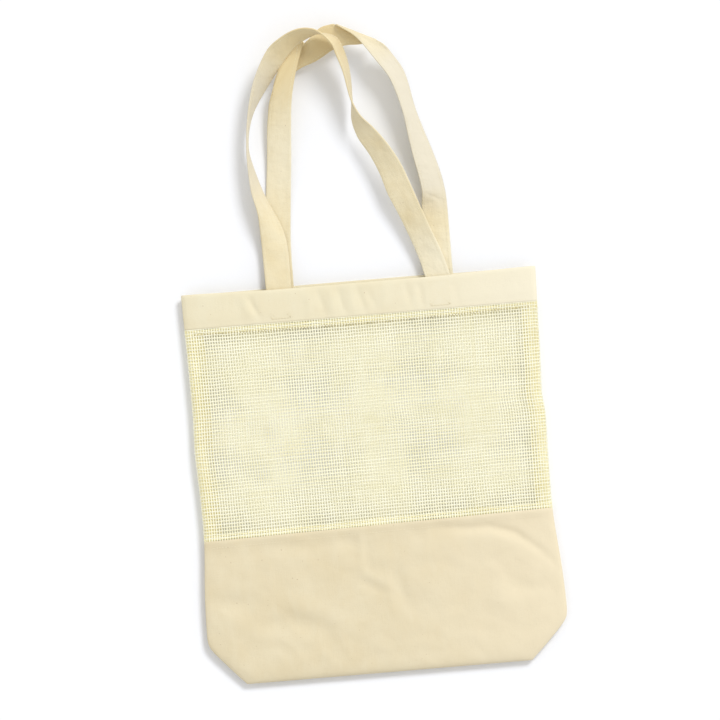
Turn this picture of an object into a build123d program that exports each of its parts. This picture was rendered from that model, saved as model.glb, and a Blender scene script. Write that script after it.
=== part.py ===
from build123d import *
import os

# A flat mesh produce bag lying on its back: canvas band, net panel and canvas base,
# with two long canvas straps. X runs across the bag, +Y from its bottom fold to its
# straps and +Z up from the floor. All sizes are in millimetres.

# ---- driving dimensions ----
BOTTOM_Y = -346.6  # the bottom fold; the whole length with straps is centred on Y = 0
BAG_LENGTH = 416.0  # bottom fold to the mouth
BACK_EXTRA = 3.0  # how far the back's mouth edge shows past the front's
HALF_WIDTH = 192.5  # the widest place, just above the bottom corners
HALF_BASE = 152.0  # half the length of the bottom fold
BASE_DEPTH = 80.0  # depth of the base when the bag stands open
BAND_HEIGHT = 34.0
SEAM_LEFT = 154.0  # the lower seam climbs a little from left to right
SEAM_RIGHT = 160.0
CANVAS = 1.0
NET = 0.8
BAND = 1.6  # the band is canvas turned double
STRAP_WIDTH = 26.0
STRAP = 2.0
TAB = 1.2  # a strap's end, sewn flat inside the band
TAB_LENGTH = 33.0
FRONT_HANDLE_START = 1.7  # the front strap bends just past the mouth, clear of its band
HANDLE_SPACING = 171.0  # between the two ends of one strap
BACK_HANDLE_SHIFT = 2.6  # the back strap's ends sit a little to the right
STRAP_GAP = 1.3  # between a strap and the mouth edge that it bends at

# ---- heights ----
FRONT_EDGE_Z = 7.0  # the front's underside at the side seams
FRONT_MIDDLE_Z = 12.6  # and along its middle
FRONT_FOLD_Z = 3.9  # and at the bottom fold
BACK_EDGE_RISE = 4.0  # the back curls up this far at the side seams
BACK_FLAT_HALF = 150.0  # the back lies flat between these
BASE_STACK_Z = 1.8  # the back's underside where the base is folded beneath it
SEAM_FOOT_Z = 3.4  # underside of the side seam allowance, just above the base
SEAM_Z = 5.1  # and from the lower seam to the mouth
SEAM_THICKNESS = 1.4
SECTION_HALF = HALF_WIDTH + 1.0
NEARLY_FLAT = 0.2
THREAD = 0.4

MOUTH = BAG_LENGTH
BACK_MOUTH = BAG_LENGTH + BACK_EXTRA
BAND_LOW = BAG_LENGTH - BAND_HEIGHT

# Each strap is a ruled ribbon. A station is a pair of points across it, first on its outer
# edge and then on its inner edge: X, distance past the mouth, Z.
FRONT_STRAP = [
    ((-98.5, FRONT_HANDLE_START, 10.9), (-72.5, FRONT_HANDLE_START, 10.9)),
    ((-99.0, 46.0, 13.0), (-73.0, 46.0, 12.5)),
    ((-99.6, 66.0, 21.0), (-76.6, 66.0, 9.6)),
    ((-100.6, 83.0, 28.0), (-83.6, 83.0, 9.0)),
    ((-105.6, 108.0, 30.0), (-93.6, 106.0, 7.5)),
    ((-107.0, 138.0, 28.6), (-103.0, 138.0, 3.2)),
    ((-106.4, 156.0, 28.6), (-105.4, 156.0, 2.8)),
    ((-103.8, 180.0, 29.6), (-101.6, 179.0, 3.8)),
    ((-99.4, 203.0, 33.0), (-92.0, 196.0, 9.4)),
    ((-91.6, 228.0, 37.0), (-72.4, 217.0, 24.0)),
    ((-76.0, 256.0, 37.5), (-58.6, 237.0, 31.5)),
    ((-60.0, 268.4, 43.0), (-50.4, 248.0, 30.5)),
    ((-45.0, 274.6, 49.0), (-41.4, 259.4, 28.5)),
    ((-33.0, 275.4, 50.6), (-33.0, 265.6, 26.8)),
    ((-21.0, 271.4, 50.4), (-20.4, 269.6, 24.6)),
    ((-7.6, 257.6, 48.6), (-1.6, 264.0, 24.2)),
    ((-3.0, 245.0, 46.0), (5.6, 248.0, 21.8)),
    ((3.0, 226.0, 41.0), (9.4, 227.0, 16.0)),
    ((8.8, 196.0, 37.2), (9.6, 195.0, 11.4)),
    ((16.6, 179.0, 34.6), (8.0, 175.6, 10.4)),
    ((30.0, 164.0, 31.0), (12.4, 157.0, 13.2)),
    ((43.5, 145.4, 28.0), (24.1, 136.1, 14.0)),
    ((54.8, 124.9, 24.6), (32.9, 115.7, 14.0)),
    ((63.4, 102.4, 21.4), (39.8, 93.1, 14.0)),
    ((72.2, 77.2, 19.8), (50.3, 68.6, 11.4)),
    ((81.8, 50.6, 17.6), (59.7, 44.0, 9.4)),
    ((91.4, 25.0, 14.4), (67.9, 20.0, 9.2)),
    ((98.5, FRONT_HANDLE_START, 10.9), (72.5, FRONT_HANDLE_START, 10.9)),
]
BACK_STRAP = [
    ((-95.9, 0.0, 2.3), (-69.9, 0.0, 2.3)),
    ((-95.2, 46.0, 3.4), (-69.2, 46.0, 3.6)),
    ((-92.0, 83.0, 4.4), (-66.2, 83.0, 6.6)),
    ((-89.0, 108.0, 6.0), (-63.8, 108.0, 11.0)),
    ((-85.6, 138.0, 10.0), (-60.8, 138.0, 16.0)),
    ((-82.8, 169.0, 13.4), (-58.2, 171.0, 19.6)),
    ((-79.0, 194.0, 16.0), (-54.4, 203.0, 22.4)),
    ((-75.0, 204.0, 18.0), (-46.0, 230.0, 23.6)),
    ((-71.4, 209.0, 19.6), (-35.2, 255.4, 23.4)),
    ((-73.6, 210.8, 16.4), (-37.4, 257.2, 20.6)),
    ((-71.0, 208.8, 13.2), (-35.0, 255.2, 17.8)),
    ((-46.5, 230.0, 13.0), (-33.2, 257.6, 17.4)),
    ((-25.1, 238.5, 13.6), (-29.4, 262.4, 17.2)),
    ((-6.0, 249.0, 14.6), (-17.6, 270.2, 17.0)),
    ((8.0, 252.6, 15.6), (-4.6, 273.0, 18.0)),
    ((24.0, 252.0, 17.0), (-2.0, 272.8, 18.6)),
    ((39.6, 252.6, 18.6), (0.2, 270.4, 19.2)),
    ((41.0, 255.6, 22.0), (1.4, 273.4, 22.6)),
    ((40.2, 253.2, 25.4), (0.8, 271.0, 26.4)),
    ((48.6, 247.4, 24.0), (19.0, 259.2, 31.0)),
    ((54.6, 241.0, 21.0), (37.2, 235.6, 35.0)),
    ((67.4, 219.0, 15.4), (52.4, 211.6, 34.0)),
    ((76.2, 178.0, 11.0), (63.0, 175.4, 32.4)),
    ((82.8, 156.0, 9.2), (66.0, 154.0, 28.6)),
    ((90.6, 132.0, 7.4), (69.8, 129.0, 22.6)),
    ((97.4, 107.0, 5.6), (74.4, 105.4, 17.4)),
    ((100.4, 88.0, 4.8), (76.6, 88.0, 13.8)),
    ((101.0, 74.0, 4.2), (75.2, 75.0, 7.2)),
    ((101.0, 46.0, 3.4), (75.0, 46.0, 3.6)),
    ((101.1, 0.0, 2.3), (75.1, 0.0, 2.3)),
]


def along(distance):
    """The Y of a place this far from the bottom fold."""
    return BOTTOM_Y + distance


def arched_section(distance, edge_z, middle_z, thickness):
    """The front wall's section across the bag: a shallow arch."""
    with BuildSketch(Plane.XZ.offset(-along(distance))) as section:
        with BuildLine():
            edge = (SECTION_HALF, edge_z)
            low = ThreePointArc((-SECTION_HALF, edge_z), (0, middle_z), edge)
            top_edge = (SECTION_HALF, edge_z + thickness)
            top_start = (-SECTION_HALF, edge_z + thickness)
            high = ThreePointArc(top_start, (0, middle_z + thickness), top_edge)
            Line(low @ 0, high @ 0)
            Line(low @ 1, high @ 1)
        make_face()
    return section.sketch


def dished_section(distance, middle_z, edge_rise, thickness):
    """The back wall's section: flat, with its side edges curling up."""
    with BuildSketch(Plane.XZ.offset(-along(distance))) as section:
        with BuildLine():
            for level in (middle_z, middle_z + thickness):
                left = (-BACK_FLAT_HALF, level)
                right = (BACK_FLAT_HALF, level)
                flat = Line(left, right)
                TangentArc(right, (SECTION_HALF, level + edge_rise), tangent=flat % 1)
                TangentArc(left, (-SECTION_HALF, level + edge_rise), tangent=-(flat % 0))
            for side in (-SECTION_HALF, SECTION_HALF):
                low = (side, middle_z + edge_rise)
                Line(low, (side, middle_z + edge_rise + thickness))
        make_face()
    return section.sketch


def panel_outline(low, high):
    """The bag's outline between two lines across it, each given at its left and right end."""
    with BuildSketch(Plane.XY.offset(-1)) as shape:
        with BuildLine():
            foot = (HALF_BASE, along(0.6))
            shoulder = (HALF_WIDTH - 1.5, along(42))
            ThreePointArc(foot, (172.8, along(19.6)), shoulder)
            side = Spline(
                shoulder,
                (HALF_WIDTH, along(62)),
                (HALF_WIDTH - 6.0, along(157)),
                (HALF_WIDTH - 4.6, along(290)),
                (HALF_WIDTH - 2.5, along(BACK_MOUTH)),
            )
            Line(side @ 1, (0, along(BACK_MOUTH)))
            mirror(about=Plane.YZ)
            Line((-HALF_BASE, along(0.6)), foot)
        make_face()
        with BuildLine():
            Polyline(
                (-SECTION_HALF - 5, along(low[0])),
                (SECTION_HALF + 5, along(low[1])),
                (SECTION_HALF + 5, along(high[1])),
                (-SECTION_HALF - 5, along(high[0])),
                close=True,
            )
        make_face(mode=Mode.INTERSECT)
    return shape.sketch


def strap_frames(stations, mouth, low=0.0, high=1.0, lift=0.0):
    """Planes across a strap, each with its width. low and high are places across the strap,
    from 0 at its outer edge to 1 at its inner edge, and lift is a height off its middle."""
    edges = []
    for index, (outer, inner) in enumerate(stations):
        # the first and last station stand clear of the mouth edge that the strap bends at
        gap = STRAP_GAP if index in (0, len(stations) - 1) else 0.0
        out = Vector(outer[0], along(mouth) + outer[1] + gap, outer[2])
        inn = Vector(inner[0], along(mouth) + inner[1] + gap, inner[2])
        edges.append((out, inn))
    frames = []
    for index, (out, inn) in enumerate(edges):
        before = edges[max(index - 1, 0)]
        after = edges[min(index + 1, len(edges) - 1)]
        travel = (after[0] + after[1]) - (before[0] + before[1])
        if index in (0, len(edges) - 1):
            travel = Vector(0, travel.Y, 0)
        across = inn - out
        normal = across.cross(travel).normalized()
        start = out + across * low
        end = out + across * high
        middle = (start + end) * 0.5 + normal * lift
        plane = Plane(origin=middle, x_dir=across, z_dir=across.cross(normal))
        frames.append((plane, (end - start).length))
    return frames


def ribbon_sections(frames, thickness):
    """The ribbon's rectangular sections, one at each frame."""
    sections = []
    for plane, width in frames:
        with BuildSketch(plane) as section:
            Rectangle(width, thickness)
        sections.append(section.sketch)
    return sections


def stitched_box(width, length, thread):
    """A sewn rectangle with a cross in it, drawn flat."""
    with BuildSketch() as box:
        Rectangle(width, length)
        Rectangle(width - 2 * thread, length - 2 * thread, mode=Mode.SUBTRACT)
        diagonal = (width**2 + length**2) ** 0.5 - 3 * thread
        slope = Vector(1, 0, 0).get_signed_angle(Vector(width, length, 0))
        for angle in (slope, -slope):
            with Locations(Rotation(0, 0, angle)):
                Rectangle(diagonal, thread)
    return box.sketch


# ---- back of the bag ----
with BuildPart() as base_panel:
    with BuildSketch(Plane.YZ.offset(-HALF_BASE + 1)):
        with BuildLine():
            lip = FRONT_FOLD_Z - 0.4
            Polyline(
                (along(BASE_DEPTH), 0),
                (along(0.9), 0),
                (along(0), 0.9),
                (along(0), lip),
                (along(CANVAS), lip),
                (along(CANVAS), CANVAS),
                (along(BASE_DEPTH), CANVAS),
                close=True,
            )
        make_face()
    extrude(amount=2 * (HALF_BASE - 1))
base_panel.part.label = "base_panel"

with BuildPart() as back_lower_panel:
    past_seam = SEAM_RIGHT + 4
    sections = [
        dished_section(1.2, BASE_STACK_Z, NEARLY_FLAT, CANVAS),
        dished_section(BASE_DEPTH + 4, BASE_STACK_Z, NEARLY_FLAT, CANVAS),
        dished_section(BASE_DEPTH + 18, 0, 1.6, CANVAS),
        dished_section(past_seam, 0, BACK_EDGE_RISE, CANVAS),
    ]
    loft(sections=sections, ruled=True)
    outline = panel_outline((1.4, 1.4), (SEAM_LEFT, SEAM_RIGHT))
    extrude(to_extrude=outline, amount=40, mode=Mode.INTERSECT)
back_lower_panel.part.label = "back_lower_panel"

with BuildPart() as back_mesh_panel:
    section = dished_section(SEAM_LEFT - 2, 0, BACK_EDGE_RISE, NET)
    extrude(to_extrude=section, amount=-(BAG_LENGTH - SEAM_LEFT))
    outline = panel_outline((SEAM_LEFT, SEAM_RIGHT), (BAND_LOW, BAND_LOW))
    extrude(to_extrude=outline, amount=40, mode=Mode.INTERSECT)
back_mesh_panel.part.label = "back_mesh_panel"

with BuildPart() as back_band:
    section = dished_section(BAND_LOW - 2, 0, BACK_EDGE_RISE, BAND)
    extrude(to_extrude=section, amount=-(BAND_HEIGHT + 8))
    outline = panel_outline((BAND_LOW, BAND_LOW), (BACK_MOUTH, BACK_MOUTH))
    extrude(to_extrude=outline, amount=40, mode=Mode.INTERSECT)
back_band.part.label = "back_band"

with BuildPart() as back_handle_ends:
    for side in (-1, 1):
        place = side * HANDLE_SPACING / 2 + BACK_HANDLE_SHIFT
        with BuildSketch(Plane((place, along(BACK_MOUTH - TAB_LENGTH / 2 - 0.3), BAND))):
            Rectangle(STRAP_WIDTH, TAB_LENGTH)
        extrude(amount=TAB)
back_handle_ends.part.label = "back_handle_ends"


def seam_section(side, distance, low_z):
    """The seam allowance's section: a flat strip just inside the bag's side edge."""
    width = 17.0 if side < 0 else 14.0
    middle = side * (HALF_WIDTH - 2.6 - width / 2)
    with BuildSketch(Plane.XZ.offset(-along(distance))) as section:
        with Locations((middle, low_z + SEAM_THICKNESS / 2)):
            Rectangle(width, SEAM_THICKNESS)
    return section.sketch


def side_seam(side):
    """The doubled seam allowance down one side, between back and front."""
    with BuildPart() as seam:
        foot = seam_section(side, BASE_DEPTH + 4, SEAM_FOOT_Z)
        joint = seam_section(side, SEAM_RIGHT, SEAM_Z)
        loft(sections=[foot, joint], ruled=True)
        extrude(to_extrude=joint, amount=-(BAG_LENGTH - SEAM_RIGHT - 1))
        outline = panel_outline((BASE_DEPTH, BASE_DEPTH), (MOUTH, MOUTH))
        extrude(to_extrude=outline, amount=40, mode=Mode.INTERSECT)
    return seam.part


def gusset_fold(side):
    """One folded corner of the base, a flat triangle between back and front."""
    with BuildPart() as fold:
        with BuildSketch(Plane.XY.offset(BASE_STACK_Z + CANVAS + NEARLY_FLAT)):
            with BuildLine():
                Polyline(
                    (side * (HALF_BASE - 4), along(3)),
                    (side * (HALF_WIDTH - 4), along(42)),
                    (side * (HALF_BASE - 4), along(BASE_DEPTH)),
                    close=True,
                )
            make_face()
        extrude(amount=0.5)
    return fold.part


def base_seam(side):
    """The seam allowance at one short end of the base, on its inner face."""
    with BuildPart() as seam:
        seam_width = 8.0
        middle = side * (HALF_BASE - 1 - seam_width / 2)
        with BuildSketch(Plane((middle, along(BASE_DEPTH / 2), CANVAS))):
            Rectangle(seam_width, BASE_DEPTH - 6)
        extrude(amount=0.7)
    return seam.part


left_side_seam = side_seam(-1)
left_side_seam.label = "left_side_seam"
right_side_seam = side_seam(1)
right_side_seam.label = "right_side_seam"
left_gusset_fold = gusset_fold(-1)
left_gusset_fold.label = "left_gusset_fold"
right_gusset_fold = gusset_fold(1)
right_gusset_fold.label = "right_gusset_fold"
left_base_seam = base_seam(-1)
left_base_seam.label = "left_base_seam"
right_base_seam = base_seam(1)
right_base_seam.label = "right_base_seam"

with BuildPart() as back_hem_stitching:
    with BuildSketch(Plane((0, along(BAND_LOW + 3), BAND))):
        Rectangle(2 * BACK_FLAT_HALF, THREAD)
    extrude(amount=THREAD)
back_hem_stitching.part.label = "back_hem_stitching"

with BuildPart() as back_mesh_seam_stitching:
    with BuildSketch(Plane.XY.offset(CANVAS)):
        with BuildLine():
            low_left = Vector(-BACK_FLAT_HALF, along(SEAM_LEFT - 2))
            low_right = Vector(BACK_FLAT_HALF, along(SEAM_RIGHT - 4))
            rise = Vector(0, THREAD)
            Polyline(low_left, low_right, low_right + rise, low_left + rise, close=True)
        make_face()
    extrude(amount=THREAD)
back_mesh_seam_stitching.part.label = "back_mesh_seam_stitching"

with BuildPart() as back_handle_box_stitching:
    for side in (-1, 1):
        place = side * HANDLE_SPACING / 2 + BACK_HANDLE_SHIFT
        floor = Plane((place, along(BACK_MOUTH - 17), BAND + TAB))
        extrude(to_extrude=floor * stitched_box(20, 26, THREAD), amount=THREAD)
back_handle_box_stitching.part.label = "back_handle_box_stitching"

# ---- front of the bag ----
with BuildPart() as front_lower_panel:
    sections = [
        arched_section(0.6, FRONT_FOLD_Z, FRONT_FOLD_Z + NEARLY_FLAT, CANVAS),
        arched_section(SEAM_RIGHT + 2, FRONT_EDGE_Z, FRONT_MIDDLE_Z, CANVAS),
    ]
    loft(sections=sections, ruled=True)
    outline = panel_outline((0.6, 0.6), (SEAM_LEFT, SEAM_RIGHT))
    extrude(to_extrude=outline, amount=40, mode=Mode.INTERSECT)
front_lower_panel.part.label = "front_lower_panel"

with BuildPart() as front_mesh_panel:
    section = arched_section(SEAM_LEFT - 2, FRONT_EDGE_Z, FRONT_MIDDLE_Z, NET)
    extrude(to_extrude=section, amount=-(BAG_LENGTH - SEAM_LEFT))
    outline = panel_outline((SEAM_LEFT, SEAM_RIGHT), (BAND_LOW, BAND_LOW))
    extrude(to_extrude=outline, amount=40, mode=Mode.INTERSECT)
front_mesh_panel.part.label = "front_mesh_panel"

with BuildPart() as front_band:
    section = arched_section(BAND_LOW - 2, FRONT_EDGE_Z, FRONT_MIDDLE_Z, BAND)
    extrude(to_extrude=section, amount=-(BAND_HEIGHT + 8))
    outline = panel_outline((BAND_LOW, BAND_LOW), (MOUTH, MOUTH))
    extrude(to_extrude=outline, amount=40, mode=Mode.INTERSECT)
front_band.part.label = "front_band"

with BuildPart() as front_handle_ends:
    tab_start = MOUTH - TAB_LENGTH - 0.3
    under = arched_section(tab_start, FRONT_EDGE_Z - TAB, FRONT_MIDDLE_Z - TAB, TAB)
    extrude(to_extrude=under, amount=-TAB_LENGTH - FRONT_HANDLE_START)
    with BuildSketch(Plane.XY):
        with Locations(
            (-HANDLE_SPACING / 2, along(MOUTH - 20)),
            (HANDLE_SPACING / 2, along(MOUTH - 20)),
        ):
            Rectangle(STRAP_WIDTH, 60)
    extrude(amount=40, mode=Mode.INTERSECT)
front_handle_ends.part.label = "front_handle_ends"


def front_thread_layer(start, length, wall):
    """A thread's thickness of the arched space just above the front wall."""
    section = arched_section(start, FRONT_EDGE_Z + wall, FRONT_MIDDLE_Z + wall, THREAD)
    return extrude(to_extrude=section, amount=-length)


with BuildPart() as front_hem_stitching:
    front_thread_layer(BAND_LOW, 10, BAND)
    with BuildSketch(Plane.XY):
        with Locations((0, along(BAND_LOW + 3))):
            Rectangle(2 * HALF_WIDTH - 8, THREAD)
    extrude(amount=40, mode=Mode.INTERSECT)
front_hem_stitching.part.label = "front_hem_stitching"

with BuildPart() as front_mesh_seam_stitching:
    front_thread_layer(SEAM_LEFT - 6, 16, CANVAS)
    with BuildSketch(Plane.XY):
        with BuildLine():
            low_left = Vector(-HALF_WIDTH + 12, along(SEAM_LEFT - 2))
            low_right = Vector(HALF_WIDTH - 12, along(SEAM_RIGHT - 3))
            Polyline(low_left, low_right, low_right + rise, low_left + rise, close=True)
        make_face()
    extrude(amount=40, mode=Mode.INTERSECT)
front_mesh_seam_stitching.part.label = "front_mesh_seam_stitching"

with BuildPart() as front_handle_box_stitching:
    front_thread_layer(BAND_LOW, BAND_HEIGHT - 1, BAND)
    with BuildSketch(Plane.XY):
        for side in (-1, 1):
            place = Location((side * HANDLE_SPACING / 2, along(MOUTH - 17), 0))
            add(place * stitched_box(20, 26, THREAD))
    extrude(amount=40, mode=Mode.INTERSECT)
front_handle_box_stitching.part.label = "front_handle_box_stitching"

# ---- handles ----
with BuildPart() as front_handle:
    # this strap turns over twice, so it is lofted span by span
    sections = ribbon_sections(strap_frames(FRONT_STRAP, MOUTH), STRAP)
    for span in zip(sections, sections[1:]):
        loft(sections=span, ruled=True)
front_handle.part.label = "front_handle"

with BuildPart() as back_handle:
    sections = ribbon_sections(strap_frames(BACK_STRAP, BACK_MOUTH), STRAP)
    loft(sections=sections, ruled=True)
back_handle.part.label = "back_handle"


def edge_stitching(stations, mouth):
    """Two threads along a strap's outer face, one near each edge."""
    with BuildPart() as threads:
        lift = STRAP / 2 + THREAD / 2 + 0.15
        for low in (0.09, 0.89):
            frames = strap_frames(stations, mouth, low, low + 0.02, lift)
            sections = ribbon_sections(frames, THREAD)
            for span in zip(sections, sections[1:]):
                loft(sections=span, ruled=True)
    return threads.part


front_handle_edge_stitching = edge_stitching(FRONT_STRAP, MOUTH)
front_handle_edge_stitching.label = "front_handle_edge_stitching"
back_handle_edge_stitching = edge_stitching(BACK_STRAP, BACK_MOUTH)
back_handle_edge_stitching.label = "back_handle_edge_stitching"

# ---- write the pieces ----
pieces = [
    base_panel.part,
    back_lower_panel.part,
    back_mesh_panel.part,
    back_band.part,
    back_handle_ends.part,
    left_side_seam,
    right_side_seam,
    left_gusset_fold,
    right_gusset_fold,
    left_base_seam,
    right_base_seam,
    back_hem_stitching.part,
    back_mesh_seam_stitching.part,
    back_handle_box_stitching.part,
    front_lower_panel.part,
    front_mesh_panel.part,
    front_band.part,
    front_handle_ends.part,
    front_hem_stitching.part,
    front_mesh_seam_stitching.part,
    front_handle_box_stitching.part,
    front_handle.part,
    front_handle_edge_stitching,
    back_handle.part,
    back_handle_edge_stitching,
]
os.makedirs("parts", exist_ok=True)
for piece in pieces:
    export_step(piece, f"parts/{piece.label}.step")
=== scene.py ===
import math
import bpy
import numpy as np
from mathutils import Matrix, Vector, noise


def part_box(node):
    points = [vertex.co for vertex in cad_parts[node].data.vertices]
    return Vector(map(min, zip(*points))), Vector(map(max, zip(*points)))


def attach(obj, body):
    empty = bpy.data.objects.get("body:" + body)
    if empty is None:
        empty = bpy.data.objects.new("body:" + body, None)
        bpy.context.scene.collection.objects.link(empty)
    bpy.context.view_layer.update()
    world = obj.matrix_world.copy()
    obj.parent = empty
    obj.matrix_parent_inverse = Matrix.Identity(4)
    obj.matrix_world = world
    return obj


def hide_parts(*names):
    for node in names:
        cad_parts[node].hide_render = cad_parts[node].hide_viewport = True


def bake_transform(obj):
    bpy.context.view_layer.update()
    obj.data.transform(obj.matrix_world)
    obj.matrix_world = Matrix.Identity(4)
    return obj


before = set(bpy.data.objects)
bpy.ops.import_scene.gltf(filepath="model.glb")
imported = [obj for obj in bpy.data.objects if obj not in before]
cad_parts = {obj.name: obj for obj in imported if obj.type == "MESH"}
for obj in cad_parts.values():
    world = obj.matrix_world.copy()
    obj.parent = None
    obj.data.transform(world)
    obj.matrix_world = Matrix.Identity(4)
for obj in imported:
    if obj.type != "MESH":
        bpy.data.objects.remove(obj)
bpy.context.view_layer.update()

# Millimetres are used for the shapes below: x across the bag, d up from its bottom fold,
# z up from the floor. mesh_piece() turns them into the frame's metres.
MM = 0.001

# ---- places read from the frame ----
BOTTOM_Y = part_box("base_panel")[0][1]


def from_bottom(y):
    return (y - BOTTOM_Y) / MM


MOUTH = from_bottom(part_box("front_band")[1][1])
BACK_MOUTH = from_bottom(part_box("back_band")[1][1])
BAND_LOW = from_bottom(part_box("front_band")[0][1])
SEAM_LEFT = from_bottom(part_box("front_mesh_panel")[0][1])
SEAM_RIGHT = from_bottom(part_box("front_lower_panel")[1][1])
HALF_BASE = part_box("base_panel")[1][0] / MM + 1.0
BASE_DEPTH = from_bottom(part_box("base_panel")[1][1])

# ---- the bag's own sizes, in millimetres ----
# How far each side edge stands out from the base's end, at distances up the bag.
LEFT_LINE = [
    (0, 2.6), (3, 6.0), (20, 21.6), (37, 36.2), (45, 40.2), (62, 40.8),
    (100, 39.4), (157, 35.4), (200, 35.6), (250, 37.4), (290, 36.2), (420, 38.0),
]
RIGHT_LINE = [
    (0, -0.5), (3, 3.2), (20, 20.6), (37, 36.2), (45, 40.2), (62, 40.8),
    (100, 39.0), (157, 34.6), (215, 34.6), (262, 35.4), (284, 33.6), (310, 34.6), (420, 37.8),
]
EDGE_Z = 10.4  # the side seams' height
EDGE_ROUND = 34.0  # how far in from its edge the bag reaches its full thickness
FRONT_Z = 13.4  # the front's height over most of the bag
BACK_Z = 0.7
FOLD_NOSE_Z = 7.6  # the bottom fold's height
FRONT_WAVES = [(0.55, 70, 1), (0.28, 26, 2)]  # soft waves in the front: height, size, seed
CANVAS = 0.9
BASE_CANVAS = 0.8
ALLOWANCE = 0.6  # the base's seam allowances, pressed thin
TAB = 1.0  # a strap's sewn ends
HEM = 1.5
STRAP_THICK = 1.7
STRAP_WIDTH = 26.0
TUCK = 31.0  # how much of each strap end is sewn inside the band
WARP_PITCH = 2.82
WEFT_PITCH = 3.48
WARP_WIDE, WARP_THICK = 1.50, 0.46
WEFT_WIDE, WEFT_THICK = 1.44, 0.42
# How the net's threads wander from their rows: share of the spacing, over how many threads.
WARP_WANDER = [(0.17, 9), (0.11, 3.1)]
WEFT_WANDER = [(0.14, 8), (0.10, 2.7)]
CALM_COLUMNS = 12  # within so many threads of the sides, the warps wander less
THIN_PLACES = [(-110, 265, 9), (-119, 218, 8)]  # where the net is stretched open: x, d, size
THINNER = 0.35  # how much narrower the threads are in the middle of a thin place
TURNED_FULLNESS = 1.15  # how much wider the threads are where the net is turned double
THREAD = 0.45
STITCH_LENGTH = 2.6
STITCH_GAP = 0.7
SIDE_GAP = 8.0  # how far short of the bag's sides its rows of stitches stop
BOX_HALF = 10.5  # half the width of the stitched box on each strap end

# Each strap is a ruled ribbon, as in the CAD model. A station is a pair of points across it,
# on its outer edge and on its inner edge: x, distance past the mouth, z. A third entry is
# how far the strap's middle bows out from the straight line between them.
FRONT_STRAP = [
    ((-98.5, 0, 10.9), (-72.5, 0, 10.9)),
    ((-99, 46, 10), (-73, 46, 9)),
    ((-99.6, 66, 15), (-76.6, 66, 6)),
    ((-100.6, 83, 20.5), (-83.6, 83, 6)),
    ((-105.6, 108, 22.5), (-93.6, 106, 6.6)),
    ((-107, 138, 23.5), (-103, 138, 7.2)),
    ((-106.4, 156, 24), (-105.4, 156, 7.4)),
    ((-103.8, 180, 25), (-101.6, 179, 7.6)),
    ((-99.4, 203, 26.4), (-93.4, 198, 7.8)),
    ((-91.6, 228, 28.6), (-77.2, 221, 9.4)),
    ((-76, 256, 32.4), (-63.6, 238.4, 18.4)),
    ((-60, 268.4, 40.6), (-53.4, 250.6, 24)),
    ((-45, 274.6, 47.4), (-42.4, 260.4, 26.4)),
    ((-33, 275.4, 49.6), (-33, 265.6, 26.2)),
    ((-21, 271.4, 50.4), (-20.4, 269.6, 24.6)),
    ((-7.6, 257.6, 47), (-1.6, 264, 25)),
    ((-3, 245, 43), (5.6, 248, 23.4)),
    ((3, 226, 37), (9.4, 227, 18)),
    ((8.8, 196, 32), (9.6, 195, 13.4)),
    ((16.6, 179, 31.4), (8, 175.6, 13.6)),
    ((30, 164, 31), (12.4, 157, 16.2)),
    ((43.5, 145.4, 32), (24.1, 136.1, 18.4)),
    ((54.8, 124.9, 29), (32.9, 115.7, 19)),
    ((63.4, 102.4, 25.6), (39.8, 93.1, 18.6)),
    ((72.2, 77.2, 23.4), (50.3, 68.6, 15.8)),
    ((81.8, 50.6, 20), (59.7, 44, 12.6)),
    ((91.4, 25, 15.4), (67.9, 20, 10.6)),
    ((98.5, 0, 10.9), (72.5, 0, 10.9)),
]
BACK_STRAP = [
    ((-95.9, 0, 2.3), (-69.9, 0, 2.3)),
    ((-95.2, 46, 2), (-69.2, 46, 2.2)),
    ((-92, 83, 1.8), (-66.2, 83, 3.2)),
    ((-89, 108, 2.6), (-63.8, 108, 6.6)),
    ((-85.6, 138, 5.6), (-60.8, 138, 11.4)),
    ((-82.8, 169, 10), (-58.2, 171, 16.6)),
    ((-79, 194, 14), (-54.4, 203, 20.4)),
    ((-76.4, 202.6, 17.6), (-47, 232, 22.8), (-1, 1, 0)),
    ((-74.6, 207, 19.4), (-38.4, 257.2, 23), (-3.6, 3.8, 0)),
    ((-73.8, 208.4, 15.6), (-38.6, 260.4, 19.4), (-4.6, 4.4, 0)),
    ((-71.6, 207.4, 11.6), (-36.4, 257.6, 15.8), (-3.6, 3.4, 0)),
    ((-46.5, 230, 11.6), (-33.2, 259.4, 15.6)),
    ((-25.1, 238.5, 13.6), (-29.4, 262.4, 17.2)),
    ((-6, 249, 14.6), (-17.6, 272.4, 17)),
    ((8, 252.6, 15.6), (-7.4, 274.8, 17.8)),
    ((23.6, 252.4, 16.6), (-3.4, 275.2, 18.2)),
    ((38, 254.8, 17.2), (-1.6, 274.2, 17.8)),
    ((39.6, 255.4, 20.8), (-0.4, 274.6, 21.8)),
    ((41, 254, 24.4), (1.6, 273.4, 25.8)),
    ((47.4, 249.6, 23.4), (19.4, 260, 29.8)),
    ((54.6, 241, 18), (37.2, 235.6, 32)),
    ((67.4, 219, 11), (52.4, 211.6, 30)),
    ((76.2, 178, 5.4), (63, 175.4, 26.8)),
    ((82.8, 156, 3.4), (66, 154, 22.8)),
    ((90.6, 132, 2.2), (69.8, 129, 17.4)),
    ((97.4, 107, 1.8), (74.4, 105.4, 13.4)),
    ((100.4, 88, 1.6), (76.6, 88, 10.6)),
    ((101, 74, 1.6), (75.2, 75, 4.8)),
    ((101, 46, 1.8), (75, 46, 2.2)),
    ((101.1, 0, 2.3), (75.1, 0, 2.3)),
]

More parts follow.
